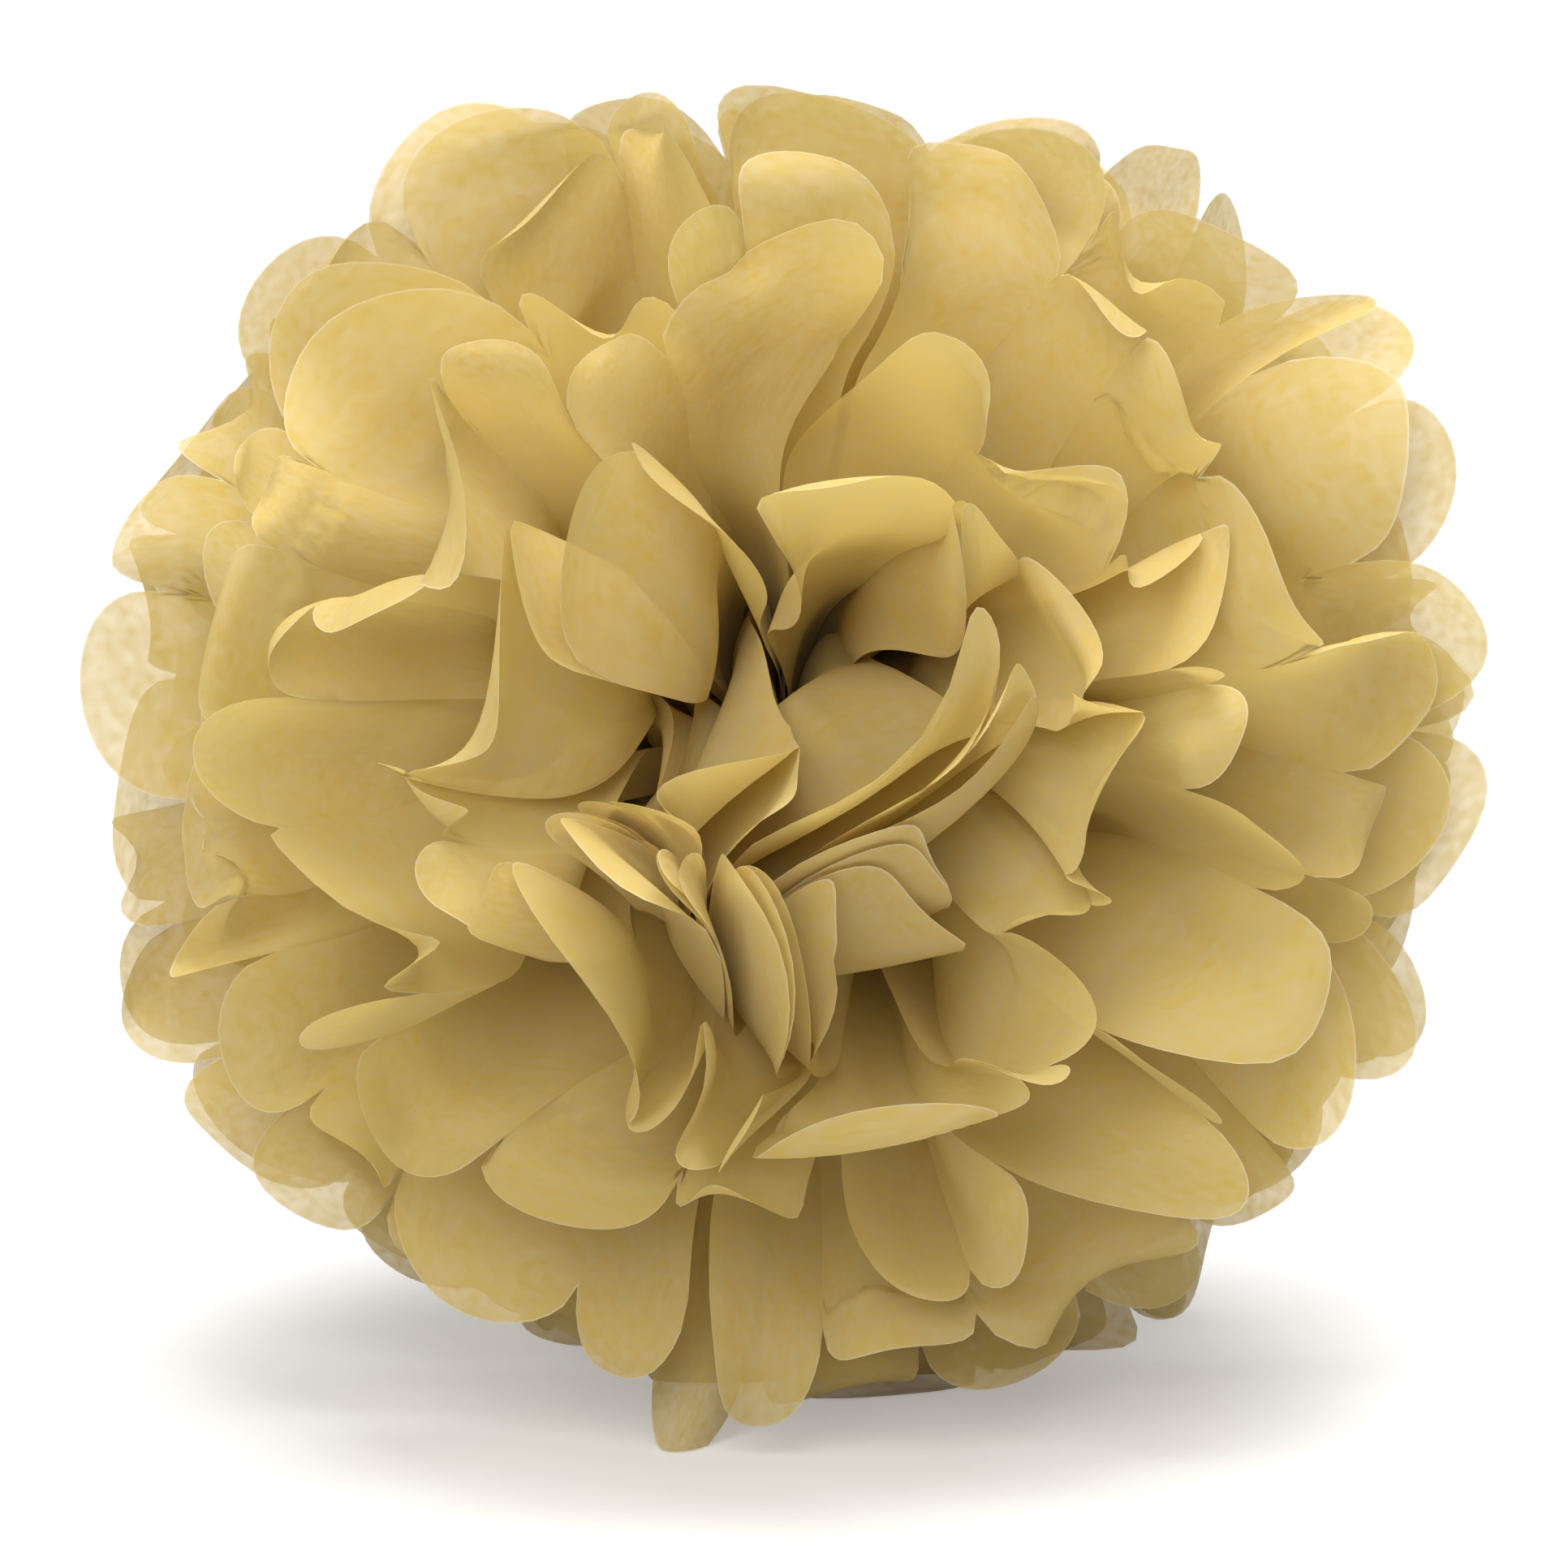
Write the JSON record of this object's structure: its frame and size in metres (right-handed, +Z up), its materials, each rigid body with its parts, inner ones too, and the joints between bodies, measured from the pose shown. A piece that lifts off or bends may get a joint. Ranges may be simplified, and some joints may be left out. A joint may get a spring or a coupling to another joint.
{
  "type": "tissue paper pom pom",
  "caption": "Round tissue paper pom pom flower: pleated sheets with rounded ends, wired across the middle and pulled apart into a ball.",
  "frame": {"origin": "on the table under the ball, at the middle of its box in X and Y", "axes": "+Z up; the flower's front pole looks along -Y; each sheet's two fans open towards +X and -X"},
  "size_m": [0.2508, 0.2554, 0.2396],
  "materials": {
    "tissue": "matte",
    "wire": "satin"
  },
  "bodies": {
    "root": {"sheet_01": "tissue", "sheet_02": "tissue", "sheet_03": "tissue", "sheet_04": "tissue", "sheet_05": "tissue", "sheet_06": "tissue", "sheet_07": "tissue", "sheet_08": "tissue", "sheet_09": "tissue", "sheet_10": "tissue", "sheet_11": "tissue", "sheet_12": "tissue", "tie_wire": "wire"}
  },
  "joints": []
}
